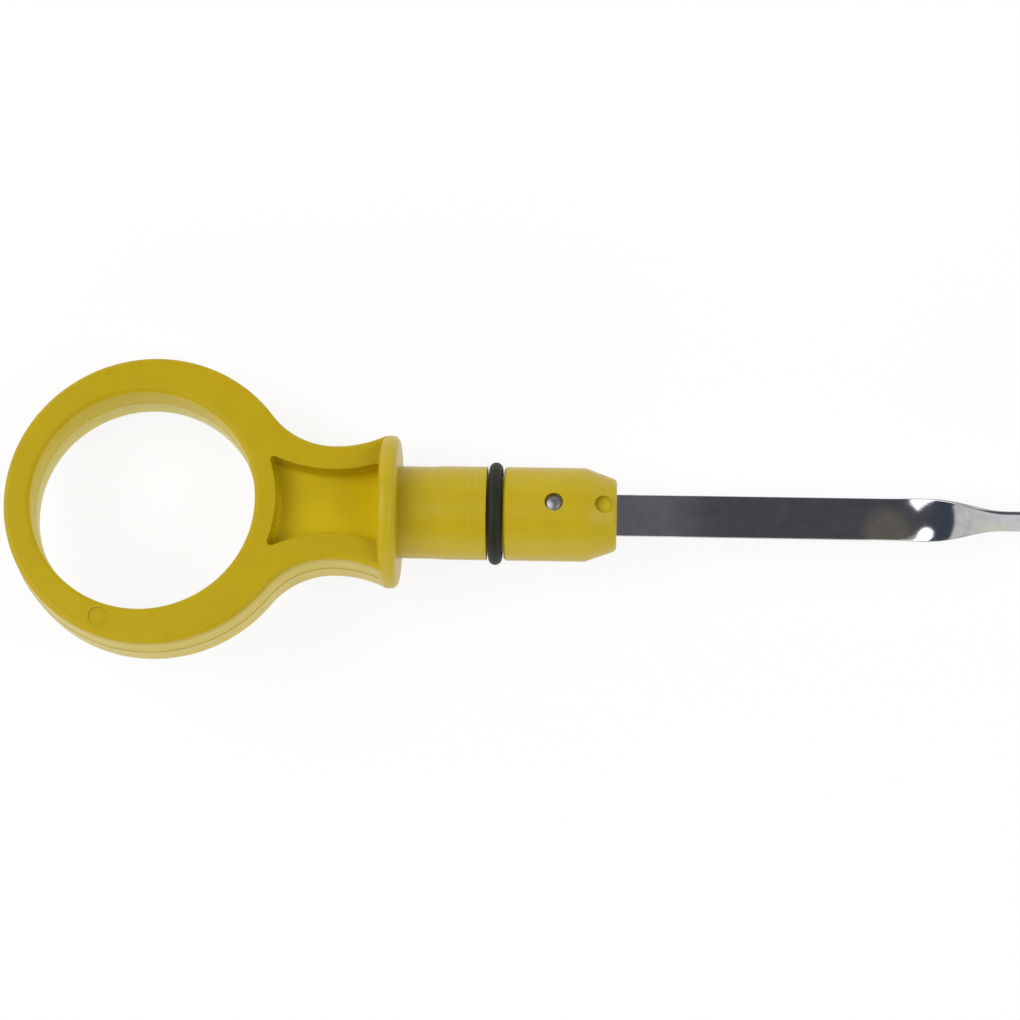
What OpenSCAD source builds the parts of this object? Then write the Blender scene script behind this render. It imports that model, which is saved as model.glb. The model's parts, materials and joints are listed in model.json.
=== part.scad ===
// Engine oil dipstick, lying on a flat surface as it comes to rest.
// Lengths are in millimetres. Each piece is drawn with the stopper's axis along X, the seat face
// of the flange at x = 0 and the finger ring flat in the XY plane. laid() then puts it on the floor.

/* [Finger ring] */
// Outer diameter of the ring, at its parting line
ring_d = 41.5; // [39:0.1:48]
// Diameter of the finger hole
hole_d = 31.2; // [26:0.1:33]
// How far the hole is off the ring's centre, away from the stopper
hole_shift = 1.3; // [0:0.1:1.8]
// Depth of the ring from face to face
ring_depth = 10; // [8:0.1:12]
// Distance from the flange's seat face to the ring's centre
ring_x = 34.3; // [33:0.1:44]
// Rounding of the ring's and the neck's long edges
edge_r = 0.7; // [0.4:0.1:1.8]
// Draft of the moulded walls, in degrees, falling both ways from the parting line
draft = 1; // [0.5:0.1:2]
// How far the ridge along the parting line stands out of the wall
ridge_h = 0.08; // [0.04:0.01:0.15]
// Width of that ridge
ridge_w = 0.4; // [0.2:0.05:0.6]
// Diameter of the ejector mark on the ring's face
ejector_d = 2.6; // [1.5:0.1:3]
// Depth of the ejector mark
ejector_depth = 0.12; // [0.05:0.01:0.3]
// Place of the ejector mark round the ring, in degrees from the stopper's direction
ejector_at = -111; // [-170:1:-80]

/* [Neck] */
// Width of the neck at its narrowest place
waist_w = 16.5; // [14:0.1:20]
// Distance from the seat face to the narrowest place
waist_x = 9; // [7:0.1:12]
// Radius of the neck's flare towards the flange
flare_r = 16; // [12:0.5:30]
// Thickness of the rails beside the pocket, at the narrowest place
rail_t = 3.6; // [2.4:0.1:4.5]
// Radius of the pocket's long sides
pocket_side_r = 20; // [16:0.5:40]
// Wall between the finger hole and the pocket
pocket_wall = 3.1; // [2:0.1:4.5]
// Rounding between the pocket's floor and its walls
pocket_fillet = 0.7; // [0.3:0.1:1.2]
// Rounding of the pocket's upper edge
pocket_edge = 0.2; // [0.1:0.05:0.8]
// Rounding of the pocket's corners, seen from above
pocket_corner = 0.5; // [0.3:0.1:0.8]
// Thickness of the web between the two pockets
web_t = 2.4; // [1.6:0.1:4]

/* [Flange] */
// Diameter of the flange
flange_d = 21.4; // [20:0.1:26]
// Thickness of the flange
flange_t = 2.5; // [1.8:0.1:4]
// Rounding of the flange's rim, as a share of its thickness
flange_round = 0.42; // [0.1:0.01:0.46]

/* [Stopper] */
// Diameter of the stopper at its nose
stopper_d = 13.1; // [12.4:0.1:14.4]
// Diameter of the stopper where it leaves the flange
root_d = 12.9; // [12.4:0.05:14.4]
// Length of the narrower stretch next to the flange
root_len = 4.9; // [3:0.1:7]
// Length over which the stopper widens past it
root_taper = 1.3; // [0.5:0.1:1.5]
// Distance from the seat face to the seal's groove
groove_x = 12.3; // [9:0.1:16]
// Width of the seal's groove
groove_w = 2.4; // [2.1:0.1:3.4]
// Chamfer between the groove and the nose
groove_chamfer = 0.3; // [0.2:0.1:0.8]
// Length of the nose's straight stretch
nose_len = 11.3; // [9:0.1:16]
// Length of the nose's taper
taper_len = 4.4; // [3.5:0.1:7]
// Diameter that the taper narrows to
nose_end_d = 9.9; // [8.5:0.1:11.4]
// Rounding of the nose's end
nose_edge = 0.8; // [0.3:0.1:1.2]
// Diameter of the core-pin dimple in the taper
dimple_d = 2.5; // [1.5:0.1:3]
// Distance from the nose's end to the dimple's centre
dimple_back = 1.8; // [1.7:0.1:3]
// Depth of the dimple at its centre
dimple_depth = 0.7; // [0.2:0.05:0.8]

/* [Seal ring] */
// Thickness of the seal ring's cord
seal_t = 1.9; // [1.5:0.05:2.05]
// How far the seal ring stands out of the stopper
seal_out = 0.62; // [0.3:0.01:0.8]

/* [Blade] */
// Width of the blade
blade_w = 6; // [5:0.1:7]
// Thickness of the blade
blade_t = 0.55; // [0.4:0.05:1]
// Length of the blade inside the nose
blade_in = 13.4; // [11:0.1:14]
// Length of the blade outside the nose
blade_out = 300; // [220:5:420]
// Flat length between the nose and the twist
twist_from = 38; // [20:1:80]
// Length over which the blade twists
twist_len = 16; // [10:0.5:24]
// Angle of the twist, in degrees
twist_angle = 83; // [60:0.1:95]
// How far the round tip stands out past its corners
tip_bulge = 2.4; // [1:0.1:2.5]
// Diameter of the two level holes
level_d = 2; // [1.2:0.1:2.6]
// Distance from the tip to the low level hole
low_level = 12; // [8:0.5:20]
// Distance between the low and the full level holes
level_gap = 20; // [12:0.5:30]

/* [Pin] */
// Diameter of the retaining pin
pin_d = 2.5; // [1.8:0.1:2.8]
// Distance from the nose's end to the pin
pin_back = 8.7; // [7:0.1:9.5]
// How far the pin's ends lie below the nose's surface
pin_recess = 0.2; // [0.1:0.05:0.6]
// Height of the pin's domed ends
pin_dome = 0.3; // [0.1:0.05:0.5]

/* [Fits] */
// Gap all round the blade in its slot
slot_gap = 0.05; // [0.02:0.01:0.15]
// Gap all round the pin in its holes
pin_gap = 0.03; // [0.01:0.01:0.1]
// Gap between the seal ring and the groove's floor
seal_gap = 0.02; // [0.01:0.01:0.1]

/* [Hidden] */
$fn = 96;

// How far a cutting shape runs past what it cuts
over = 1;
ring_r = ring_d / 2;
hole_r = hole_d / 2;
half_depth = ring_depth / 2;
// The hole's edges and the ring's own share the wall at the far side of the ring, where it is thinnest
thin_wall = ring_r - hole_r - hole_shift;
long_edge = min(edge_r, 0.4 * thin_wall);
flange_r = flange_d / 2;
flange_edge = flange_round * flange_t;
stopper_r = stopper_d / 2;

// The neck's side is an arc that leaves the ring's outline without a corner
waist_half = waist_w / 2;
pocket_depth = half_depth - web_t / 2;
waist_dx = ring_x - waist_x;
fillet_r = (pow(waist_dx, 2) + pow(waist_half, 2) - pow(ring_r, 2)) / (2 * (ring_r - waist_half));

// Places along the stopper
nose_x = groove_x + groove_w;
taper_x = nose_x + nose_len;
nose_end = taper_x + taper_len;
nose_end_r = nose_end_d / 2;
taper_slope = (stopper_r - nose_end_r) / taper_len;
groove_r = stopper_r + seal_out - seal_t - seal_gap;
seal_x = groove_x + groove_w / 2;
pin_x = nose_end - pin_back;
dimple_x = nose_end - dimple_back;
dimple_floor = nose_end_r + dimple_back * taper_slope - dimple_depth;

// Places along the blade
blade_start = nose_end - blade_in;
twist_x = nose_end + twist_from;
tip_x = nose_end + blade_out;
full_level = low_level + level_gap;

// Steps of the twist along and across the blade
twist_steps = 24;
width_steps = 4;

// Three things touch the floor: the flange's rim, the ring's low edge and the blade's tip.
// Depth of the tip's low edge under the axis, where the part is rolled by the angle given
function tip_drop(roll) =
    blade_w / 2 * sin(twist_angle - roll) + blade_t / 2 * cos(twist_angle - roll);
// Slope of the axis that brings the flange's rim and the tip down together
function slope_at(roll) = atan((flange_r - tip_drop(roll)) / (tip_x - tip_bulge + flange_edge));
// Roll that brings the ring's low edge down to the floor at that slope
edge_y = ring_r - half_depth * tan(draft) - long_edge;
edge_z = half_depth - long_edge;
function ring_drop(slope) = flange_r + (ring_x - flange_edge) * tan(slope) - long_edge;
function roll_at(slope) = asin(ring_drop(slope) / norm([edge_y, edge_z])) - atan2(edge_z, edge_y);
// Each turn brings the roll and the slope nearer to each other, from a first guess of the roll
function settle(roll, turns) = turns == 0 ? roll : settle(roll_at(slope_at(roll)), turns - 1);
settle_turns = 6;
roll = settle(0, settle_turns);
slope = slope_at(roll);

// The origin is on the floor, under the middle of the part's length
reach_back = (ring_x + ring_r) * cos(slope);
reach_front = tip_x * cos(slope);
middle_x = (reach_front - reach_back) / 2;
axis_height = flange_r * cos(slope) - flange_edge * sin(slope);

module laid() {
    translate([-middle_x, 0, axis_height])
        rotate([-roll, slope, 0])
            children();
}

// Section of a moulded wall that is drafted both ways, rounded at both edges and has a fine ridge
// along the parting line. The wall would be at x = 0 there, and the material lies on the -x side.
module wall_section(thickness) {
    fall = half_depth * tan(draft);
    flat = half_depth - long_edge;
    ridge_foot = ridge_w / 2;
    ridge_fall = ridge_foot * tan(draft);
    polygon([
        [-thickness, -half_depth], [-fall - long_edge, -half_depth], [-fall, -flat],
        [-ridge_fall, -ridge_foot], [ridge_h, 0], [-ridge_fall, ridge_foot],
        [-fall, flat], [-fall - long_edge, half_depth], [-thickness, half_depth]
    ]);
    for (side = [-1, 1])
        translate([-fall - long_edge, side * flat])
            circle(r = long_edge);
}

// Round cutter that leaves a wall with that section round it
module round_cutter(radius) {
    wide = long_edge + over;
    rotate_extrude()
        difference() {
            translate([0, -half_depth - over])
                square([radius + wide, ring_depth + 2 * over]);
            translate([radius, 0])
                mirror([1, 0])
                    wall_section(wide + over);
        }
}

// Revolved about the stopper's axis from the parting plane: x is the radius and y the place
// along the axis
module turned() {
    rotate([90, 0, 90])
        rotate_extrude()
            children();
}

// A wide ring, whose inner part goes when the finger hole is cut
module ring_disc() {
    translate([-ring_x, 0, 0])
        rotate_extrude()
            translate([ring_r, 0])
                wall_section(ring_r - over);
}

// The neck from the ring to the narrowest place. Its block is a triangle from the ring's centre
// to the centres of the two side arcs, so its edges pass through the points where ring and arcs meet.
module neck_to_ring() {
    side_y = waist_half + fillet_r;
    difference() {
        translate([0, 0, -half_depth])
            linear_extrude(ring_depth)
                polygon([[-ring_x, 0], [-waist_x, -side_y], [-waist_x, side_y]]);
        for (side = [-1, 1])
            translate([-waist_x, side * side_y, 0])
                round_cutter(fillet_r);
    }
}

// The neck from the narrowest place to the flange
module neck_to_flange() {
    side_y = waist_half + flare_r;
    difference() {
        translate([-waist_x, -side_y, -half_depth])
            cube([waist_x - flange_t / 2, 2 * side_y, ring_depth]);
        for (side = [-1, 1])
            translate([-waist_x, side * side_y, 0])
                round_cutter(flare_r);
    }
}

// What fills the corner between a pocket's floor, at y = 0, and its wall, at x = 0
module fillet_section() {
    difference() {
        translate([-over, -over])
            square(pocket_fillet + over);
        translate([pocket_fillet, pocket_fillet])
            circle(r = pocket_fillet);
    }
}

// Section of a pocket's wall, from below the floor at y = 0 to its rounded upper edge
module pocket_section(thickness) {
    low = pocket_depth - pocket_edge;
    translate([-thickness, -over])
        square([thickness, low + over]);
    translate([-thickness, 0])
        square([thickness - pocket_edge, pocket_depth]);
    translate([-pocket_edge, low])
        circle(r = pocket_edge);
    fillet_section();
}

// Round wall of a pocket, with the hollow outside it
module pocket_round(radius, thickness) {
    rotate_extrude()
        translate([radius, 0])
            pocket_section(thickness);
}

// What rounds a pocket's corner with a side wall. It lies between two lines from the rounding's
// centre, one to the side wall's centre and one to a point in the other wall.
module corner_fill(centre, side_centre, other_points) {
    linear_extrude(2 * (pocket_depth + over), center = true)
        difference() {
            polygon(concat([centre, side_centre], other_points));
            translate(centre)
                circle(r = pocket_corner);
        }
}

// What is taken out for one pocket, with its floor at z = 0: all that is between the two side
// walls, the wall round the finger hole and the flange
module pocket() {
    side_y = waist_half - rail_t + pocket_side_r;
    hole_wall_r = hole_r - hole_shift + pocket_wall;

    // Centre of the corner between the side wall and the wall round the finger hole
    side_reach = pocket_side_r + pocket_corner;
    hole_reach = hole_wall_r + pocket_corner;
    apart = norm([waist_dx, side_y]);
    along = (pow(hole_reach, 2) - pow(side_reach, 2) + pow(apart, 2)) / (2 * apart);
    aside = sqrt(pow(hole_reach, 2) - pow(along, 2));
    hole_corner = [(waist_dx * along + side_y * aside) / apart - ring_x,
                   (side_y * along - waist_dx * aside) / apart];

    // Centre of the corner between the side wall and the flange
    corner_x = -flange_t - pocket_corner;
    flange_corner = [corner_x, side_y - sqrt(pow(side_reach, 2) - pow(waist_x + corner_x, 2))];

    difference() {
        translate([-ring_x, -waist_half, 0])
            cube([ring_x - flange_t, waist_w, pocket_depth + over]);
        for (side = [0, 1])
            mirror([0, side, 0]) {
                translate([-waist_x, side_y, 0])
                    pocket_round(pocket_side_r, rail_t + over);
                corner_fill(hole_corner, [-waist_x, side_y], [[-ring_x, 0]]);
                corner_fill(flange_corner, [-waist_x, side_y], [[0, side_y], [0, flange_corner[1]]]);
            }
        translate([-ring_x, 0, 0])
            pocket_round(hole_wall_r, hole_wall_r - over);
        translate([-flange_t, 0, 0])
            rotate([90, 0, 0])
                linear_extrude(waist_w, center = true)
                    mirror([1, 0])
                        fillet_section();
    }
}

module pockets() {
    for (side = [0, 1])
        mirror([0, 0, side])
            translate([0, 0, web_t / 2])
                pocket();
}

module flange() {
    turned() {
        translate([0, -flange_t])
            square([flange_r - flange_edge, flange_t]);
        translate([0, flange_edge - flange_t])
            square([flange_r, flange_t - 2 * flange_edge]);
        for (y = [-flange_edge, flange_edge - flange_t])
            translate([flange_r - flange_edge, y])
                circle(r = flange_edge);
    }
}

module stopper() {
    angle = atan(taper_slope);
    end_y = nose_end - nose_edge;
    end_x = nose_end_r + nose_edge * taper_slope - nose_edge / cos(angle);
    turned() {
        polygon([
            [0, -flange_t / 2], [root_d / 2, -flange_t / 2], [root_d / 2, root_len],
            [stopper_r, root_len + root_taper],
            [stopper_r, groove_x], [groove_r, groove_x], [groove_r, nose_x],
            [stopper_r - groove_chamfer, nose_x], [stopper_r, nose_x + groove_chamfer],
            [stopper_r, taper_x],
            [end_x + nose_edge * cos(angle), end_y + nose_edge * sin(angle)],
            [end_x, nose_end], [0, nose_end]
        ]);
        translate([end_x, end_y])
            circle(r = nose_edge);
    }
}

// Slot for the blade, open at the nose's end
module blade_slot() {
    high = blade_t + 2 * slot_gap;
    wide = blade_w + 2 * slot_gap;
    translate([blade_start - slot_gap, -wide / 2, -high / 2])
        cube([blade_in + slot_gap + over, wide, high]);
}

module pin_hole() {
    translate([pin_x, 0, 0])
        cylinder(h = stopper_d + 2 * over, r = pin_d / 2 + pin_gap, center = true);
}

module dimple() {
    translate([dimple_x, 0, dimple_floor])
        cylinder(h = stopper_r, d = dimple_d);
}

module ejector_mark() {
    mid_wall = (ring_r + hole_r) / 2;
    translate([-ring_x, 0, 0])
        rotate([0, 0, ejector_at])
            translate([mid_wall, 0, half_depth - ejector_depth])
                cylinder(h = over, d = ejector_d);
}

// One moulding: finger ring, neck with a pocket in each face, flange, stopper and nose
module handle() {
    color("gold")
        laid()
            difference() {
                union() {
                    ring_disc();
                    neck_to_ring();
                    neck_to_flange();
                    flange();
                    stopper();
                }
                translate([-ring_x - hole_shift, 0, 0])
                    round_cutter(hole_r);
                pockets();
                ejector_mark();
                blade_slot();
                pin_hole();
                dimple();
            }
}

module seal_ring() {
    color("dimgray")
        laid()
            turned()
                translate([groove_r + seal_gap + seal_t / 2, seal_x])
                    circle(d = seal_t);
}

// Share of the twist that is made at a share of its length: it starts and ends gently
function eased(share) = share * share * (3 - 2 * share);

// Corner and edge points of the blade's section, once round it, at a place along the axis
function blade_section(x, angle) =
    [for (face = [-1, 1]) for (i = [0 : width_steps])
        let (y = -face * blade_w * (i / width_steps - 0.5), z = face * blade_t / 2)
        [x, y * cos(angle) - z * sin(angle), y * sin(angle) + z * cos(angle)]];

// The whole strip: flat from the nose, twisted once, then straight to the tip
module strip() {
    count = 2 * (width_steps + 1);
    twist = [for (step = [0 : twist_steps])
        let (share = step / twist_steps)
        blade_section(twist_x + twist_len * share, twist_angle * eased(share))];
    sections = concat([blade_section(blade_start, 0)], twist, [blade_section(tip_x, twist_angle)]);
    last = len(sections) - 1;
    sides = [for (step = [0 : last - 1]) for (i = [0 : count - 1])
        let (a = step * count + i, b = step * count + (i + 1) % count)
        each [[a, b + count, b], [a, a + count, b + count]]];
    ends = [for (i = [0 : width_steps - 1])
        let (quad = [i, i + 1, count - 2 - i, count - 1 - i])
        each [quad, [for (k = [3 : -1 : 0]) quad[k] + last * count]]];
    polyhedron([for (section = sections) each section], concat(sides, ends));
}

// What is cut off the strip's square end to leave a round tip
module tip_cut() {
    tip_r = (pow(blade_w / 2, 2) + pow(tip_bulge, 2)) / (2 * tip_bulge);
    linear_extrude(blade_w, center = true)
        difference() {
            translate([tip_x - tip_bulge, -blade_w])
                square([tip_bulge + over, 2 * blade_w]);
            translate([tip_x - tip_r, 0])
                circle(r = tip_r);
        }
}

module blade() {
    color("silver")
        laid()
            difference() {
                strip();
                translate([pin_x, 0, 0])
                    cylinder(h = blade_w, r = pin_d / 2 + pin_gap, center = true);
                rotate([twist_angle, 0, 0]) {
                    tip_cut();
                    for (level = [low_level, full_level])
                        translate([tip_x - level, 0, 0])
                            cylinder(h = blade_w, d = level_d, center = true);
                }
            }
}

// Pin through the nose and the blade, with a domed end on each face
module retaining_pin() {
    pin_r = pin_d / 2;
    half = sqrt(pow(stopper_r, 2) - pow(pin_r, 2)) - pin_recess;
    dome_r = (pow(pin_r, 2) + pow(pin_dome, 2)) / (2 * pin_dome);
    color("gray")
        laid()
            translate([pin_x, 0, 0])
                rotate_extrude() {
                    translate([0, pin_dome - half])
                        square([pin_r, 2 * (half - pin_dome)]);
                    for (side = [-1, 1])
                        intersection() {
                            translate([0, -half])
                                square([pin_r, 2 * half]);
                            translate([0, side * (half - dome_r)])
                                circle(r = dome_r);
                        }
                }
}

handle();
seal_ring();
blade();
retaining_pin();
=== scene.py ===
"""Looks of an engine oil dipstick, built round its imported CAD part.

Lengths are in metres. A point is first worked out in the handle's own frame: the stopper's
axis along X, the flange's seat face at x = 0 and the finger ring flat in the XY plane. Places
in that frame are written in millimetres, as in the part's source, and laid() puts them where
the part lies.
"""

import json
import math

import bmesh
import bpy
import numpy as np
from mathutils import Matrix, Vector


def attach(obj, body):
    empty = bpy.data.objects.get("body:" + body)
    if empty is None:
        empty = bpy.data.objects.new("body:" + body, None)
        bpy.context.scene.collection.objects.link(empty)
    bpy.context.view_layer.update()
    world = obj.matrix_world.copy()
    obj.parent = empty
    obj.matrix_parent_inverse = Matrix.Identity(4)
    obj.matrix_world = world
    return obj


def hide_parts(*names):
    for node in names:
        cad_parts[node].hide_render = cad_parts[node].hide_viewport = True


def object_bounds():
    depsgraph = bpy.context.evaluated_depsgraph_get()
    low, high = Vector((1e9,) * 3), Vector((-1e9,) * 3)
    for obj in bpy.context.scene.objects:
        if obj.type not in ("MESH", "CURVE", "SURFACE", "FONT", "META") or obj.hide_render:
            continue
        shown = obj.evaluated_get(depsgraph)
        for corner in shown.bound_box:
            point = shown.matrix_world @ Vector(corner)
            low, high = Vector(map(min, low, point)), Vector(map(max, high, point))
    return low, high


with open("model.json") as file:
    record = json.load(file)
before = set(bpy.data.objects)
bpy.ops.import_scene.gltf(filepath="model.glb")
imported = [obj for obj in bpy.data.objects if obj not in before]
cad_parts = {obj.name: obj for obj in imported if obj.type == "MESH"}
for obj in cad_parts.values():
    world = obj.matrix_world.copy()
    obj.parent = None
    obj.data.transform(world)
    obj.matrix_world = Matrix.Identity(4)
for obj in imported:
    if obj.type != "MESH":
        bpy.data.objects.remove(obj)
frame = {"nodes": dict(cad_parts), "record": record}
cad_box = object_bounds()
MM = 0.001

# Driving sizes of the part, in millimetres and degrees, as in its source

FACE_Z = 5.0
HOLE_MIDDLE = (-35.6, 0, 0)
HOLE_R = 15.6
FLANGE_R = 10.7
FLANGE_THICKNESS = 2.5
SEAL_X = 13.5
SEAL_CORD = 1.9
SEAL_MIDDLE_R = 6.22
NOSE_MIDDLE = 20.75
NOSE_END = 30.4
BLADE_WIDTH = 6.0
BLADE_THICKNESS = 0.55
BLADE_START = 17.0
TWIST_FROM = NOSE_END + 38
TWIST_LENGTH = 16
TWIST_ANGLE = 83
TIP_X = NOSE_END + 300
TIP_BULGE = 2.4
LEVEL_HOLES = (TIP_X - 12, TIP_X - 32)
LEVEL_R = 1.0
PIN_X = 21.7
PIN_R = 1.25
PIN_HOLE_R = 1.28
PIN_HALF = 6.22
PIN_DOME = 0.3


# The handle's own frame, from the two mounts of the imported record

mounts = {m["name"]: m for m in frame["record"]["mounts"]}
axis_x = np.array(mounts["nose"]["axis"])
axis_x /= np.linalg.norm(axis_x)
origin = np.array(mounts["nose"]["pos_m"]) - NOSE_MIDDLE * MM * axis_x
axis_z = np.array(mounts["seat"]["pos_m"]) - origin
axis_z -= (axis_z @ axis_x) * axis_x
axis_z /= np.linalg.norm(axis_z)
turn = np.column_stack([axis_x, np.cross(axis_z, axis_x), axis_z])


def laid(points):
    """Points in millimetres of the handle's own frame, put where the part lies: scaled to
    metres, turned and moved."""
    return np.asarray(points, float) * MM @ turn.T + origin


def link_new(name, data):
    """A new object in the scene."""
    thing = bpy.data.objects.new(name, data)
    bpy.context.scene.collection.objects.link(thing)
    return thing


# Camera, placed as the photograph was taken: its own axes are the handle's, turned a little

CAMERA_TURNS = (-16.2, -1.9, -0.87)  # degrees about the handle's X, Y and Z
CAMERA_PLACE = (15.47, 0.31, 476)  # millimetres along the camera's own axes
CAMERA_LENS = 120
CAMERA_SENSOR = 36


def make_camera():
    rx, ry, rz = (Matrix.Rotation(math.radians(a), 3, axis) for a, axis in zip(CAMERA_TURNS, "XYZ"))
    seen = np.array(rz @ ry @ rx)
    camera = link_new("camera", bpy.data.cameras.new("camera"))
    pose = Matrix((turn @ seen.T).tolist()).to_4x4()
    pose.translation = laid(seen.T @ np.array(CAMERA_PLACE))
    camera.matrix_world = pose
    camera.data.lens = CAMERA_LENS
    camera.data.sensor_width = CAMERA_SENSOR
    bpy.context.scene.camera = camera


# Short ways to add shader nodes


def fill_socket(tree, socket, value):
    """Links a socket to another one, or gives it a plain value."""
    if isinstance(value, bpy.types.NodeSocket):
        tree.links.new(value, socket)
    else:
        socket.default_value = value


def add_node(tree, kind, settings=None, **inputs):
    """One node. settings go to its own values and inputs to its sockets, by name or, as i0, i1 and
    so on, by number."""
    node = tree.nodes.new(kind)
    for key, value in (settings or {}).items():
        setattr(node, key, value)
    for key, value in inputs.items():
        name = int(key[1:]) if key[0] == "i" and key[1:].isdigit() else key.replace("_", " ")
        fill_socket(tree, node.inputs[name], value)
    return node


def add_math(tree, operation, *values):
    sockets = {f"i{n}": value for n, value in enumerate(values)}
    return add_node(tree, "ShaderNodeMath", {"operation": operation}, **sockets).outputs[0]


def add_mix(tree, factor, first, second):
    return add_node(tree, "ShaderNodeMix", {"data_type": "RGBA"},
                    i0=factor, i6=first, i7=second).outputs[2]


def add_ramp(tree, value, low, high, to_low=0.0, to_high=1.0):
    """A smooth step: to_low below low, to_high above high."""
    return add_node(tree, "ShaderNodeMapRange", {"interpolation_type": "SMOOTHSTEP"},
                    i0=value, i1=low, i2=high, i3=to_low, i4=to_high).outputs[0]


def add_fade(tree, value, band, full=1.0):
    """The opposite smooth step: full below a band of values and nothing above it."""
    return add_ramp(tree, value, *band, full, 0.0)


def add_gap(tree, value, place):
    """How far a value is from a place, either way."""
    return add_math(tree, "ABSOLUTE", add_math(tree, "SUBTRACT", value, place))


def add_distance(tree, first, second):
    """The distance between two points."""
    return add_node(tree, "ShaderNodeVectorMath", {"operation": "DISTANCE"},
                    i0=first, i1=second).outputs["Value"]


# Studio

LIT_POINT = (-0.1, 0, 0)
# Each lamp's name, shape, place, size and power, and whether it shows in gloss
LAMPS = (("soft_box_left", "SQUARE", (-0.62, 0.21, 0.76), 0.7, 4.9, True),
         ("soft_box_right", "DISK", (0.43, -0.05, 0.76), 0.43, 1.9, True),
         ("soft_fill_near", "SQUARE", (-0.1, -0.9, 0.35), 0.8, 1.5, False))
LAMP_SPIN = 45  # degrees about the line to the lit point

WALL_TOP = 27  # degrees above the horizon, seen from the object
WALL_SKEW = 0.2
# Bands in which one part of the room gives way to the next, in a direction's own X, Y and Z
WALL_TOP_BAND = (-0.03, 0.05)
NEAR_SIDE_BAND = (-0.3, 0.1)
NEAR_END_BAND = (0.7, 0.8)
FAR_END_BAND = (0.42, 0.55)
NEAR_WALL = (1.32, 1.28, 1.25, 1)
FAR_WALL = (0.95, 0.955, 0.96, 1)
ROOM_END = (0.85, 0.85, 0.85, 1)
CEILING = (0.152, 0.153, 0.172, 1)
NEAR_CEILING = (0.11, 0.13, 0.17, 1)

FLOOR_REACH = 3.0
FLOOR_GAP = 0.02 * MM
FLOOR_COLOUR = (0.95, 0.95, 0.95, 1)
FLOOR_ROUGHNESS = 0.9
FLOOR_GLOW = 0.85  # share of plain white in what the camera and gloss see of the floor


def make_lamp(name, shape, place, size, power, shows_in_gloss):
    """A soft box that faces the lit point. A square one stands on one corner."""
    data = bpy.data.lights.new(name, "AREA")
    data.shape = shape
    data.size = size
    data.energy = power
    lamp = link_new(name, data)
    away = (Vector(place) - Vector(LIT_POINT)).normalized()
    across = Vector((0, 1, 0)).cross(away).normalized()
    facing = Matrix((across, away.cross(across), away)).transposed()
    spin = Matrix.Rotation(math.radians(LAMP_SPIN), 3, "Z")
    lamp.matrix_world = Matrix.LocRotScale(place, facing @ spin, None)
    lamp.visible_camera = False
    lamp.visible_glossy = shows_in_gloss


def make_room():
    """A room with light walls along X, lightest on the near side, grey ends and a dark ceiling. The
    walls stand a little askew: their distance is y + WALL_SKEW x."""
    world = bpy.data.worlds.new("room")
    bpy.context.scene.world = world
    world.use_nodes = True
    tree = world.node_tree
    where = tree.nodes.new("ShaderNodeTexCoord")
    parts = add_node(tree, "ShaderNodeSeparateXYZ", Vector=where.outputs["Generated"])
    wall_top = math.radians(WALL_TOP)
    rise = add_math(tree, "MULTIPLY", parts.outputs["Z"], math.cos(wall_top))
    askew = add_math(tree, "MULTIPLY_ADD", parts.outputs["X"], WALL_SKEW, parts.outputs["Y"])
    out = add_math(tree, "MULTIPLY", add_math(tree, "ABSOLUTE", askew), math.sin(wall_top))
    above = add_ramp(tree, add_math(tree, "SUBTRACT", rise, out), *WALL_TOP_BAND)

    aside = add_math(tree, "ABSOLUTE", parts.outputs["X"])
    near = add_fade(tree, parts.outputs["Y"], NEAR_SIDE_BAND)
    near_middle = add_math(tree, "MULTIPLY", add_fade(tree, aside, NEAR_END_BAND), near)
    middle = add_math(tree, "MAXIMUM", near_middle, add_fade(tree, aside, FAR_END_BAND))

    ceiling = add_mix(tree, near, CEILING, NEAR_CEILING)
    overhead = add_mix(tree, middle, ROOM_END, ceiling)
    wall = add_mix(tree, near, FAR_WALL, NEAR_WALL)
    colour = add_mix(tree, above, wall, overhead)
    tree.links.new(colour, tree.nodes["Background"].inputs["Color"])


def make_floor():
    """A wide white floor just under the part. It keeps the part's shadow."""
    corners = [(-FLOOR_REACH, -FLOOR_REACH, 0), (FLOOR_REACH, -FLOOR_REACH, 0),
               (FLOOR_REACH, FLOOR_REACH, 0), (-FLOOR_REACH, FLOOR_REACH, 0)]
    mesh = bpy.data.meshes.new("floor")
    mesh.from_pydata(corners, [], [(0, 1, 2, 3)])
    floor = link_new("floor", mesh)
    floor.location.z = min(0.0, cad_box[0].z) - FLOOR_GAP
    material = bpy.data.materials.new("white_floor")
    material.use_nodes = True
    tree = material.node_tree
    matt = tree.nodes["Principled BSDF"]
    matt.inputs["Base Color"].default_value = FLOOR_COLOUR
    matt.inputs["Roughness"].default_value = FLOOR_ROUGHNESS
    ray = tree.nodes.new("ShaderNodeLightPath")
    seen = add_math(tree, "MAXIMUM", ray.outputs["Is Camera Ray"], ray.outputs["Is Glossy Ray"])
    glow = tree.nodes.new("ShaderNodeEmission")
    mix = add_node(tree, "ShaderNodeMixShader", i0=add_math(tree, "MULTIPLY", seen, FLOOR_GLOW),
                   i1=matt.outputs[0], i2=glow.outputs[0])
    tree.links.new(mix.outputs[0], tree.nodes["Material Output"].inputs["Surface"])
    mesh.materials.append(material)


# Node groups that the materials share. They put out colours, masks, normals and values only.

SPOT_CORE = 0.4  # share of a spot's radius within which it is full


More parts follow.
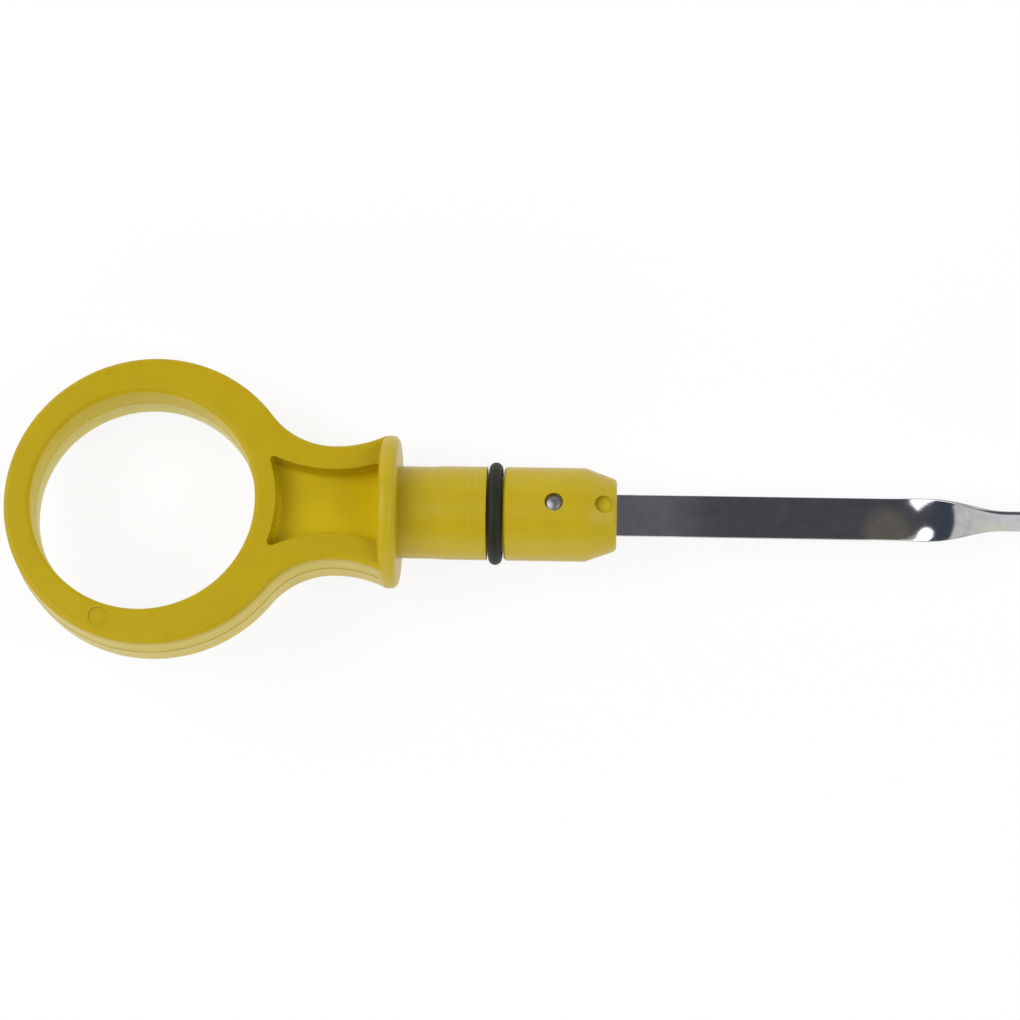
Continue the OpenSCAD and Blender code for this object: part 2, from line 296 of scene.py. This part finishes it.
def new_group(name, inputs, outputs):
    """A node group with named sockets, given as (name, kind, value) and (name, kind)."""
    group = bpy.data.node_groups.new(name, "ShaderNodeTree")
    for socket_name, kind, value in inputs:
        socket = group.interface.new_socket(socket_name, in_out="INPUT", socket_type=kind)
        if value is not None:
            socket.default_value = value
    for socket_name, kind in outputs:
        group.interface.new_socket(socket_name, in_out="OUTPUT", socket_type=kind)
    return group, group.nodes.new("NodeGroupInput"), group.nodes.new("NodeGroupOutput")


def make_own_place():
    """Puts out the place in millimetres of the handle's own frame."""
    group, _, end = new_group("own_place", [], [("Place", "NodeSocketVector")])
    where = group.nodes.new("ShaderNodeTexCoord")
    mapping = add_node(group, "ShaderNodeMapping", {"vector_type": "TEXTURE"},
                       Vector=where.outputs["Object"], Location=origin.tolist(),
                       Rotation=Matrix(turn.tolist()).to_euler(), Scale=(MM, MM, MM))
    group.links.new(mapping.outputs[0], end.inputs["Place"])
    return group


def make_mottle():
    """Lightens and darkens a colour a little in soft patches of a given size."""
    group, start, end = new_group(
        "mottle",
        [("Place", "NodeSocketVector", None), ("Colour", "NodeSocketColor", (1, 1, 1, 1)),
         ("Patches per mm", "NodeSocketFloat", 0.2), ("Amount", "NodeSocketFloat", 0.1)],
        [("Colour", "NodeSocketColor")])
    noise = add_node(group, "ShaderNodeTexNoise", Vector=start.outputs["Place"],
                     Scale=start.outputs["Patches per mm"], Detail=3.0, Roughness=0.55)
    swing = add_math(group, "SUBTRACT", noise.outputs["Fac"], 0.5)
    swing = add_math(group, "MULTIPLY", swing, start.outputs["Amount"])
    value = add_math(group, "ADD", swing, 1.0)
    shifted = add_node(group, "ShaderNodeHueSaturation", Color=start.outputs["Colour"], Value=value)
    group.links.new(shifted.outputs[0], end.inputs["Colour"])
    return group


def make_grain():
    """Normal of a fine even grain. A stretched grain runs along X."""
    group, start, end = new_group(
        "grain",
        [("Place", "NodeSocketVector", None), ("Stretch", "NodeSocketVector", (1, 1, 1)),
         ("Grains per mm", "NodeSocketFloat", 3.0), ("Height mm", "NodeSocketFloat", 0.01)],
        [("Normal", "NodeSocketVector"), ("Height", "NodeSocketFloat")])
    stretched = add_node(group, "ShaderNodeVectorMath", {"operation": "MULTIPLY"},
                         i0=start.outputs["Place"], i1=start.outputs["Stretch"])
    noise = add_node(group, "ShaderNodeTexNoise", Vector=stretched.outputs[0],
                     Scale=start.outputs["Grains per mm"], Detail=4.0, Roughness=0.6)
    height = add_math(group, "MULTIPLY", start.outputs["Height mm"], MM)
    bump = add_node(group, "ShaderNodeBump", Strength=1.0, Distance=height, Height=noise.outputs["Fac"])
    group.links.new(bump.outputs[0], end.inputs["Normal"])
    group.links.new(noise.outputs["Fac"], end.inputs["Height"])
    return group


def make_specks():
    """Mask of small dots strewn over the surface. Chance is the share of the cells that have one."""
    group, start, end = new_group(
        "specks",
        [("Place", "NodeSocketVector", None), ("Cells per mm", "NodeSocketFloat", 0.4),
         ("Chance", "NodeSocketFloat", 0.1), ("Radius", "NodeSocketFloat", 0.1)],
        [("Mask", "NodeSocketFloat")])
    cells = add_node(group, "ShaderNodeTexVoronoi", Vector=start.outputs["Place"],
                     Scale=start.outputs["Cells per mm"])
    parts = add_node(group, "ShaderNodeSeparateColor", Color=cells.outputs["Color"])
    chosen = add_math(group, "LESS_THAN", parts.outputs[0], start.outputs["Chance"])
    near = add_math(group, "LESS_THAN", cells.outputs["Distance"], start.outputs["Radius"])
    mask = add_math(group, "MULTIPLY", chosen, near)
    group.links.new(mask, end.inputs["Mask"])
    return group


def make_spot():
    """Mask of one soft round spot at a place, 1 in its middle and 0 from its radius on."""
    group, start, end = new_group(
        "spot",
        [("Place", "NodeSocketVector", None), ("Centre", "NodeSocketVector", None),
         ("Radius mm", "NodeSocketFloat", 0.3)],
        [("Mask", "NodeSocketFloat")])
    away = add_distance(group, start.outputs["Place"], start.outputs["Centre"])
    share = add_math(group, "DIVIDE", away, start.outputs["Radius mm"])
    group.links.new(add_fade(group, share, (SPOT_CORE, 1.0)), end.inputs["Mask"])
    return group


GROUPS = {"own_place": make_own_place(), "mottle": make_mottle(), "grain": make_grain(),
          "specks": make_specks(), "spot": make_spot()}


def use_group(tree, name, **inputs):
    node = tree.nodes.new("ShaderNodeGroup")
    node.node_tree = GROUPS[name]
    for key, value in inputs.items():
        fill_socket(tree, node.inputs[key.replace("_", " ")], value)
    return node


def mottled(tree, place, colour, patches_per_mm, amount):
    return use_group(tree, "mottle", Place=place, Colour=colour, Patches_per_mm=patches_per_mm,
                     Amount=amount).outputs["Colour"]


def spot_mask(tree, place, spot):
    """Mask of a spot, given as its centre and radius."""
    centre, radius = spot
    return use_group(tree, "spot", Place=place, Centre=centre, Radius_mm=radius).outputs["Mask"]


# Materials

# Yellow of the plastic, as on its faces; a paler yellow painted on as painted light, on the walls,
# the stopper and the dimple's bottom; and painted light on the hole's wall at its upper and lower edge
YELLOW = (0.463, 0.331, 0.001, 1)
PAINTED_LIGHT_YELLOW = (0.54, 0.407, 0.005, 1)
UPPER_HOLE_PAINTED_LIGHT = (0.62, 0.46, 0.001, 1)
LOWER_HOLE_PAINTED_LIGHT = (0.59, 0.50, 0.004, 1)
# Painted light in the pockets: a paler yellow at the ring's end, and at the flange's a deeper painted
# bounce of yellow light
PAINTED_POCKET_YELLOW = (0.59, 0.45, 0.006, 1)
PAINTED_BOUNCE_YELLOW = (0.66, 0.49, 0.0, 1)
# Colours of lines and of dirt
PARTING_YELLOW = (0.34, 0.25, 0.002, 1)
DIRT = (0.10, 0.075, 0.02, 1)

# Share of the painted paler yellow in the stopper's: painted light on the whole stopper
STOPPER_PAINTED_LIGHT = 0.4
# Coat weight of the plastic as moulded, on the rubbed faces, and on the hole's wall from its
# lower to its upper edge. The pockets have none.
MOULDED_GLOSS = 0.7
RUBBED_GLOSS = 0.26
HOLE_GLOSS = (1.0, 0.1)

# Bands in which one finish or one painted light gives way to the next, in millimetres: heights,
# places along X, half widths and distances from the hole's middle
WALL_Z = (FACE_Z - 2.5, FACE_Z - 0.3)
FACE_EDGE_Z = (FACE_Z - 0.5, FACE_Z - 0.1)
FLANGE_BACK_X = (-3.0, -1.5)
HOLE_EDGE_AWAY = (HOLE_R + 0.55, HOLE_R + 1.15)
POCKET_RIM_Z = (FACE_Z - 2, FACE_Z - 0.5)
POCKET_START_X = (-19.5, -18.5)
POCKET_END_X = (-2.6, -2.4)
POCKET_SIDE_Y = (7.0, 7.2)
POCKET_DEPTH_X = (-9, -4)
PARTING_Z = (0.1, 0.28)
PARTING_AWAY = (HOLE_R + 1.4, HOLE_R + 3.4)
SHAFT_LINE_X = (0.04, 0.14)
EJECTOR_RIM = (0.05, 0.17)

# How strongly lines and dirt show
PARTING_STRENGTH = 0.8
SHAFT_LINE_STRENGTH = 0.18
EJECTOR_STRENGTH = 0.35
DIRT_STRENGTH = 0.45

# Faint rings that are rubbed into the stopper, as places along it
SHAFT_LINES = (0.5, 9.3, 10.4, 11.2)
# The ejector's round mark on the upper face, as centre and radius
EJECTOR_MARK = ((-40.8, -17.0, FACE_Z), 1.3)
# Painted light on the bottom of the dimple in the nose
PAINTED_DIMPLE_LIGHT = ((28.9, 0.1, 4.95), 1.15)
# Small marks on the upper face
FACE_MARKS = (((-9.8, 0.9, FACE_Z), 0.32), ((-5.2, -4.4, FACE_Z), 0.28), ((-24.9, -18.3, FACE_Z), 0.22),
              ((-42.7, 18.6, FACE_Z), 0.25), ((-41.2, 18.2, FACE_Z), 0.16))

RUBBER_BLACK = (0.011, 0.013, 0.004, 1)

# Steel of the blade: cool or warm, and painted reflections: lighter at its root, darker further on, and
# a brown spot
COOL_STEEL = (0.47, 0.475, 0.495, 1)
WARM_STEEL = (0.49, 0.465, 0.42, 1)
PAINTED_BRIGHT_ROOT_STEEL = (0.58, 0.58, 0.6, 1)
PAINTED_DARK_STEEL = (0.34, 0.35, 0.36, 1)
PAINTED_BROWN_STEEL = (0.62, 0.57, 0.45, 1)
# Band of the noise in which the steel turns from cool to warm
WARMTH_BAND = (0.35, 0.65)
# Where along the blade the painted lighter root gives way to a painted darker reflection, and where
# that ends
PAINTED_DARK_START_X = (37, 46)
PAINTED_DARK_END_X = (78.5, 80.5)
# A painted brown reflection on the blade, as centre and radius
PAINTED_BROWN_SPOT = ((68.0, -1.8, 0.3), 4.4)
PIN_STEEL = (0.29, 0.275, 0.29, 1)

# The grain's heights between which the roughness goes from its least to its most
GRAIN_BAND = (0.3, 0.7)
PLASTIC_ROUGHNESS = (0.37, 0.45)
BLADE_ROUGHNESS = (0.10, 0.16)


def new_material(name, **sockets):
    """A material whose shader has plain values on the named sockets."""
    material = bpy.data.materials.new(name)
    material.use_nodes = True
    tree = material.node_tree
    shader = tree.nodes["Principled BSDF"]
    for key, value in sockets.items():
        shader.inputs[key.replace("_", " ")].default_value = value
    place = use_group(tree, "own_place").outputs["Place"]
    return material, tree, shader, place


def add_grain(tree, shader, place, roughness=None, **values):
    """Gives the shader a grain, whose height also sets the roughness where two ends are given."""
    grain = use_group(tree, "grain", Place=place, **values)
    tree.links.new(grain.outputs["Normal"], shader.inputs["Normal"])
    if roughness:
        rough = add_ramp(tree, grain.outputs["Height"], *GRAIN_BAND, *roughness)
        tree.links.new(rough, shader.inputs["Roughness"])


def plastic_base(tree, parts, from_hole):
    """Colour, with its painted light, and gloss of the plastic from the parts of a place and its
    distance from the hole.
    """
    along = parts.outputs["X"]
    aside = add_math(tree, "ABSOLUTE", parts.outputs["Y"])
    height = add_math(tree, "ABSOLUTE", parts.outputs["Z"])

    # Behind the flange the walls get painted light, paler than the faces, and the stopper a little
    # painted light all over. Only the faces there are rubbed, which lowers their gloss.
    low = add_math(tree, "MULTIPLY", add_fade(tree, parts.outputs["Z"], WALL_Z),
                   add_fade(tree, height, FACE_EDGE_Z))
    behind = add_fade(tree, along, FLANGE_BACK_X)
    more = add_math(tree, "SUBTRACT", low, STOPPER_PAINTED_LIGHT)
    painted_pale = add_math(tree, "MULTIPLY_ADD", behind, more, STOPPER_PAINTED_LIGHT)
    colour = add_mix(tree, painted_pale, YELLOW, PAINTED_LIGHT_YELLOW)
    rubbed = add_math(tree, "SUBTRACT", behind, add_math(tree, "MULTIPLY", behind, low))
    gloss = add_ramp(tree, rubbed, 0.0, 1.0, MOULDED_GLOSS, RUBBED_GLOSS)

    # The hole's wall gets painted light, paler towards its lower edge, and it is glossier there
    within = add_fade(tree, from_hole, HOLE_EDGE_AWAY)
    rise = add_ramp(tree, parts.outputs["Z"], -FACE_Z, FACE_Z)
    hole_painted_light = add_mix(tree, rise, LOWER_HOLE_PAINTED_LIGHT, UPPER_HOLE_PAINTED_LIGHT)
    colour = add_mix(tree, within, colour, hole_painted_light)
    hole_gloss = add_ramp(tree, rise, 0.0, 1.0, *HOLE_GLOSS)
    gloss = add_ramp(tree, within, 0.0, 1.0, gloss, hole_gloss)

    # Down in the pockets it is glossless, with painted light: a paler yellow, deeper towards the flange
    # as a painted bounce
    in_pocket = add_fade(tree, height, POCKET_RIM_Z)
    for mask in (add_ramp(tree, along, *POCKET_START_X), add_fade(tree, along, POCKET_END_X),
                 add_fade(tree, aside, POCKET_SIDE_Y)):
        in_pocket = add_math(tree, "MULTIPLY", in_pocket, mask)
    depth = add_ramp(tree, along, *POCKET_DEPTH_X)
    pocket_painted_light = add_mix(tree, depth, PAINTED_POCKET_YELLOW, PAINTED_BOUNCE_YELLOW)
    return add_mix(tree, in_pocket, colour, pocket_painted_light), add_ramp(tree, in_pocket, 0.0, 1.0, gloss, 0.0)


def plastic_lines(tree, place, parts, from_hole, colour):
    """The colour with the parting line, which hardly shows within the hole, the rings on the
    stopper and the rim of the ejector's mark."""
    height = add_math(tree, "ABSOLUTE", parts.outputs["Z"])
    outside = add_ramp(tree, from_hole, *PARTING_AWAY)
    parting = add_math(tree, "MULTIPLY", add_fade(tree, height, PARTING_Z, PARTING_STRENGTH), outside)
    colour = add_mix(tree, parting, colour, PARTING_YELLOW)
    for line_x in SHAFT_LINES:
        gap = add_gap(tree, parts.outputs["X"], line_x)
        line = add_fade(tree, gap, SHAFT_LINE_X, SHAFT_LINE_STRENGTH)
        colour = add_mix(tree, line, colour, PARTING_YELLOW)
    centre, radius = EJECTOR_MARK
    gap = add_gap(tree, add_distance(tree, place, centre), radius)
    return add_mix(tree, add_fade(tree, gap, EJECTOR_RIM, EJECTOR_STRENGTH), colour, PARTING_YELLOW)


def yellow_plastic():
    """Satin moulded plastic: soft patches, a fine grain, a darker parting line, a few specks, and
    painted light on the walls, the stopper, the hole's wall, the pockets and the dimple's bottom.
    """
    material, tree, shader, place = new_material(
        "yellow_plastic", IOR=1.39, Specular_IOR_Level=0.15, Coat_IOR=1.39, Coat_Roughness=0.41,
        Subsurface_Weight=0.15, Subsurface_Radius=(1.0, 0.6, 0.1), Subsurface_Scale=0.8 * MM)
    parts = add_node(tree, "ShaderNodeSeparateXYZ", Vector=place)
    from_hole = add_distance(tree, place, HOLE_MIDDLE)
    colour, gloss = plastic_base(tree, parts, from_hole)
    tree.links.new(gloss, shader.inputs["Coat Weight"])
    colour = mottled(tree, place, colour, patches_per_mm=0.25, amount=0.16)
    colour = mottled(tree, place, colour, patches_per_mm=2.5, amount=0.06)
    colour = plastic_lines(tree, place, parts, from_hole, colour)
    # Painted light on the dimple's bottom, in the paler painted yellow
    colour = add_mix(tree, spot_mask(tree, place, PAINTED_DIMPLE_LIGHT), colour, PAINTED_LIGHT_YELLOW)

    dirt = use_group(tree, "specks", Place=place, Cells_per_mm=0.45, Chance=0.05,
                     Radius=0.05).outputs["Mask"]
    for mark in FACE_MARKS:
        dirt = add_math(tree, "MAXIMUM", dirt, spot_mask(tree, place, mark))
    colour = add_mix(tree, add_math(tree, "MULTIPLY", dirt, DIRT_STRENGTH), colour, DIRT)
    tree.links.new(colour, shader.inputs["Base Color"])
    add_grain(tree, shader, place, PLASTIC_ROUGHNESS, Grains_per_mm=5.0, Height_mm=0.006)
    return material


def black_rubber():
    """Dark rubber with a soft sheen and a little dust."""
    material, tree, shader, place = new_material("black_rubber", Roughness=0.6, IOR=1.35)
    colour = mottled(tree, place, RUBBER_BLACK, patches_per_mm=1.5, amount=0.5)
    tree.links.new(colour, shader.inputs["Base Color"])
    add_grain(tree, shader, place, Grains_per_mm=6.0, Height_mm=0.01)
    return material


def blade_steel():
    """Bright rolled strip: a fine lengthwise grain, faint warm and cool stains, and painted
    reflections: lighter at the root, darker along the blade into the twist, and a brown spot.
    """
    material, tree, shader, place = new_material("blade_steel", Metallic=1.0)
    warmth = add_node(tree, "ShaderNodeTexNoise", Vector=place, Scale=0.12, Detail=2.0).outputs["Fac"]
    tint = add_mix(tree, add_ramp(tree, warmth, *WARMTH_BAND), COOL_STEEL, WARM_STEEL)
    along = add_node(tree, "ShaderNodeSeparateXYZ", Vector=place).outputs["X"]
    # Painted reflections: lighter at the root, then a painted darker reflection up into the twist, and
    # a brown spot
    past_root = add_ramp(tree, along, *PAINTED_DARK_START_X)
    tint = add_mix(tree, past_root, PAINTED_BRIGHT_ROOT_STEEL, tint)
    oil = add_math(tree, "MULTIPLY", past_root, add_fade(tree, along, PAINTED_DARK_END_X))
    tint = add_mix(tree, oil, tint, PAINTED_DARK_STEEL)
    tint = add_mix(tree, spot_mask(tree, place, PAINTED_BROWN_SPOT), tint, PAINTED_BROWN_STEEL)
    colour = mottled(tree, place, tint, patches_per_mm=0.5, amount=0.45)
    tree.links.new(colour, shader.inputs["Base Color"])
    add_grain(tree, shader, place, BLADE_ROUGHNESS, Stretch=(0.01, 1, 1), Grains_per_mm=4.0,
              Height_mm=0.004)
    return material


def pin_steel():
    """Duller steel with a cut end."""
    material, tree, shader, place = new_material("pin_steel", Roughness=0.36, Metallic=1.0)
    colour = mottled(tree, place, PIN_STEEL, patches_per_mm=2.0, amount=0.5)
    tree.links.new(colour, shader.inputs["Base Color"])
    add_grain(tree, shader, place, Grains_per_mm=5.0, Height_mm=0.02)
    return material


# Pieces

# Points closer than this are one
MERGE_GAP = 0.0005 * MM

# Fine roundings of the blade's long edges, of the edges at its tip and of the pin's rims, in mm
BLADE_CORNER = 0.12
TIP_CORNER = 0.2
PIN_CORNER = 0.12

# Rows of points along the blade, and steps round its section
ROOT_ROWS = 24
TWIST_ROWS = 97
RUN_ROWS = 60
TIP_ROWS = 33
FLAT_STEPS = 13
CORNER_STEPS = 5
# How strongly the tip's rows crowd towards its end, and the gap after the first point
TIP_CROWDING = 1.5
END_GAP = 0.001

# Steps round a hole, round the seal and its cord, and round the pin, its rims and its domes
DRILL_STEPS = 64
SEAL_STEPS = 192
CORD_STEPS = 48
PIN_STEPS = 64
RIM_STEPS = 7
DOME_STEPS = 8

# The ring that trims the neck's corners: how far off the flange's rim it starts and ends, and how
# far it reaches along X either way from the flange's middle
TRIM_GAP = 0.008
TRIM_REACH = 1.5
TRIM_X = (-2.5, 0.1)
TRIM_STEPS = 192


def finish_mesh(mesh, crease):
    """Faces outward and smooth, but for edges sharper than the crease angle in degrees."""
    if "custom_normal" in mesh.attributes:
        mesh.attributes.remove(mesh.attributes["custom_normal"])
    bm = bmesh.new()
    bm.from_mesh(mesh)
    bmesh.ops.remove_doubles(bm, verts=bm.verts, dist=MERGE_GAP)
    bmesh.ops.delete(bm, geom=[v for v in bm.verts if not v.link_faces], context="VERTS")
    bmesh.ops.recalc_face_normals(bm, faces=bm.faces)
    bm.to_mesh(mesh)
    bm.free()
    mesh.polygons.foreach_set("use_smooth", np.ones(len(mesh.polygons), bool))
    mesh.set_sharp_from_angle(angle=math.radians(crease))


def add_piece(name, mesh, node, material):
    """A piece that stands for a CAD node and rides where the node does."""
    piece = link_new(name, mesh)
    mesh.materials.clear()
    mesh.materials.append(material)
    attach(piece, "root")
    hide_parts(node)
    return piece


def full_turn(steps):
    """Angles of one full turn in equal steps, without the last, which is the first again."""
    return np.linspace(0, 2 * math.pi, steps + 1)[:-1]


def point_grid(x, y, z):
    """A grid of points from their coordinates, each of which is spread over the whole grid."""
    return np.stack(np.broadcast_arrays(x, y, z), axis=-1)


def surface_mesh(name, grid, ends):
    """One closed mesh from a grid of points in millimetres of the handle's own frame, first index
    along the piece and second round it. ends is "poles" where the first and the last row are one
    point each, and "joined" where the last row runs on into the first."""
    rows, around = grid.shape[:2]
    index = np.arange(rows * around).reshape(rows, around)
    if ends == "poles":
        index[0], index[-1] = index[0, 0], index[-1, 0]
        near, far = index[:-1], index[1:]
    else:
        near, far = index, np.roll(index, -1, axis=0)
    quads = np.stack([near, far, np.roll(far, -1, axis=1), np.roll(near, -1, axis=1)], axis=-1)
    faces = [tuple(dict.fromkeys(quad)) for quad in quads.reshape(-1, 4).tolist()]
    mesh = bpy.data.meshes.new(name)
    mesh.from_pydata(laid(grid.reshape(-1, 3)).tolist(), [], faces)
    return mesh


def cut_away(piece, cutter):
    """Takes the cutter's space out of the piece, and the cutter out of the scene."""
    cut = piece.modifiers.new("cut", "BOOLEAN")
    cut.operation = "DIFFERENCE"
    cut.object = cutter
    bpy.context.view_layer.update()
    solid = bpy.data.meshes.new_from_object(piece.evaluated_get(bpy.context.evaluated_depsgraph_get()))
    piece.modifiers.clear()
    piece.data = solid
    bpy.data.objects.remove(cutter)


def drill_through(piece, places, radius, angle):
    """Round holes through the piece at places along the axis, turned by an angle about it."""
    for place in places:
        bpy.ops.mesh.primitive_cylinder_add(vertices=DRILL_STEPS, radius=radius * MM,
                                            depth=2 * BLADE_WIDTH * MM)
        drill = bpy.context.object
        spin = Matrix.Rotation(math.radians(angle), 3, "X")
        pose = (Matrix(turn.tolist()) @ spin).to_4x4()
        pose.translation = laid((place, 0, 0))
        drill.matrix_world = pose
        cut_away(piece, drill)


def strip_section():
    """One turn round the blade's section, as shares of the half width less the corner, as angles
    round each corner, and as the side, 1 above and -1 below. It goes along the top, round the two
    corners of one edge, back along the bottom and round the other two."""
    stretches = (
        (FLAT_STEPS, (1, -1), (90, 90), 1),
        (CORNER_STEPS, (-1, -1), (100, 180), 1),
        (CORNER_STEPS, (-1, -1), (180, 260), -1),
        (FLAT_STEPS, (-1, 1), (270, 270), -1),
        (CORNER_STEPS, (1, 1), (280, 360), -1),
        (CORNER_STEPS, (1, 1), (0, 80), 1))
    share = np.concatenate([np.linspace(*ends, steps) for steps, ends, _, _ in stretches])
    angle = np.concatenate([np.linspace(*ends, steps) for steps, _, ends, _ in stretches])
    side = np.concatenate([np.full(steps, value) for steps, _, _, value in stretches])
    return share, np.radians(angle), side


def strip_grid():
    """The blade as rows of points. Each row goes once round a rounded rectangle. The rows turn about
    the axis through the twist, by 3 s^2 - 2 s^3 of the whole angle at the share s of its length.
    Near the tip the half width follows a circle's arc down to nothing."""
    tip_r = ((BLADE_WIDTH / 2) ** 2 + TIP_BULGE ** 2) / (2 * TIP_BULGE)
    twist_end = TWIST_FROM + TWIST_LENGTH
    tip_turn = np.linspace(0, math.pi / 2, TIP_ROWS)
    stations = np.concatenate([
        [BLADE_START, BLADE_START + END_GAP],
        np.linspace(BLADE_START + 1, TWIST_FROM - 1, ROOT_ROWS),
        np.linspace(TWIST_FROM, twist_end, TWIST_ROWS),
        np.linspace(twist_end + 2, TIP_X - TIP_BULGE - 1, RUN_ROWS),
        TIP_X - TIP_BULGE * np.cos(tip_turn) ** TIP_CROWDING])
    past = np.clip(stations - (TIP_X - tip_r), 0, tip_r)
    half_width = np.minimum(BLADE_WIDTH / 2, np.sqrt(tip_r ** 2 - past ** 2))
    past = np.clip(stations - (TIP_X - TIP_CORNER), 0, TIP_CORNER)
    half_thick = BLADE_THICKNESS / 2 * np.sqrt(1 - (past / TIP_CORNER) ** 2)

    share, angle, side = strip_section()
    r = np.minimum(BLADE_CORNER, np.minimum(half_width, half_thick))[:, None]
    y = (half_width[:, None] - r) * share + r * np.cos(angle)
    z = (half_thick[:, None] - r) * side + r * np.sin(angle)
    s = np.clip((stations - TWIST_FROM) / TWIST_LENGTH, 0, 1)
    twist = np.radians(TWIST_ANGLE * s * s * (3 - 2 * s))[:, None]
    grid = point_grid(
        stations[:, None],
        y * np.cos(twist) - z * np.sin(twist),
        y * np.sin(twist) + z * np.cos(twist))
    grid[0, :, 1:] = 0
    return grid


def make_blade(material):
    """The twisted strip, with its level holes and the pin's hole."""
    mesh = surface_mesh("blade_strip", strip_grid(), "poles")
    finish_mesh(mesh, crease=50)
    piece = add_piece("blade_strip", mesh, "blade", material)
    drill_through(piece, LEVEL_HOLES, LEVEL_R, TWIST_ANGLE)
    drill_through(piece, [PIN_X], PIN_HOLE_R, 0)
    finish_mesh(piece.data, crease=50)


def make_seal(material):
    """A torus about the stopper's axis: the cord's circle, carried round the axis."""
    across = full_turn(CORD_STEPS)
    around = full_turn(SEAL_STEPS)[:, None]
    reach = SEAL_MIDDLE_R + SEAL_CORD / 2 * np.cos(across)
    grid = point_grid(
        SEAL_X + SEAL_CORD / 2 * np.sin(across),
        reach * np.cos(around),
        reach * np.sin(around))
    mesh = surface_mesh("seal_cord", grid, "joined")
    finish_mesh(mesh, crease=60)
    add_piece("seal_cord", mesh, "seal_ring", material)


def make_pin(material):
    """A cylinder across the nose with domed ends. The end's height falls with the square of the
    radius, and its rim is rounded by a quarter of a circle."""
    quarter = np.linspace(0, math.pi / 2, RIM_STEPS)
    dome_r = PIN_R - PIN_CORNER
    inner = np.linspace(0, dome_r, DOME_STEPS + 1)[:-1]
    radius = np.concatenate([inner, dome_r + PIN_CORNER * np.sin(quarter)])
    drop = PIN_DOME * (np.minimum(radius, dome_r) / PIN_R) ** 2
    drop[len(inner):] += PIN_CORNER * (1 - np.cos(quarter))
    height = PIN_HALF - drop
    radius = np.concatenate([radius, radius[::-1]])[:, None]
    height = np.concatenate([height, -height[::-1]])[:, None]
    around = full_turn(PIN_STEPS)
    grid = point_grid(PIN_X + radius * np.cos(around), radius * np.sin(around), height)
    mesh = surface_mesh("pin_body", grid, "poles")
    finish_mesh(mesh, crease=50)
    add_piece("pin_body", mesh, "retaining_pin", material)


def rim_cutter():
    """A square ring about the axis, just outside the flange's rim and up to the flange's middle:
    its four corners, carried round the axis."""
    back, front = TRIM_X
    along = np.array([back, front, front, back])[:, None] - FLANGE_THICKNESS / 2
    reach = np.array([TRIM_GAP, TRIM_GAP, TRIM_REACH, TRIM_REACH])[:, None] + FLANGE_R
    around = full_turn(TRIM_STEPS)
    grid = point_grid(along, reach * np.cos(around), reach * np.sin(around))
    mesh = surface_mesh("rim_cutter", grid, "joined")
    finish_mesh(mesh, crease=30)
    return link_new("rim_cutter", mesh)


def make_handle(material):
    """The CAD handle's own surface with its triangles joined, so that its rounded edges shade
    smoothly. The neck's corners are trimmed flush with the flange's rim."""
    mesh = frame["nodes"]["handle"].data.copy()
    mesh.name = "handle_moulding"
    finish_mesh(mesh, crease=32)
    piece = add_piece("handle_moulding", mesh, "handle", material)
    cut_away(piece, rim_cutter())
    piece.data.name = "handle_moulding"
    finish_mesh(piece.data, crease=32)
    even = piece.modifiers.new("even_normals", "WEIGHTED_NORMAL")
    even.keep_sharp = True


make_camera()
for lamp in LAMPS:
    make_lamp(*lamp)
make_room()
make_floor()
make_handle(yellow_plastic())
make_seal(black_rubber())
make_blade(blade_steel())
make_pin(pin_steel())

bpy.context.scene.view_settings.view_transform = "Standard"
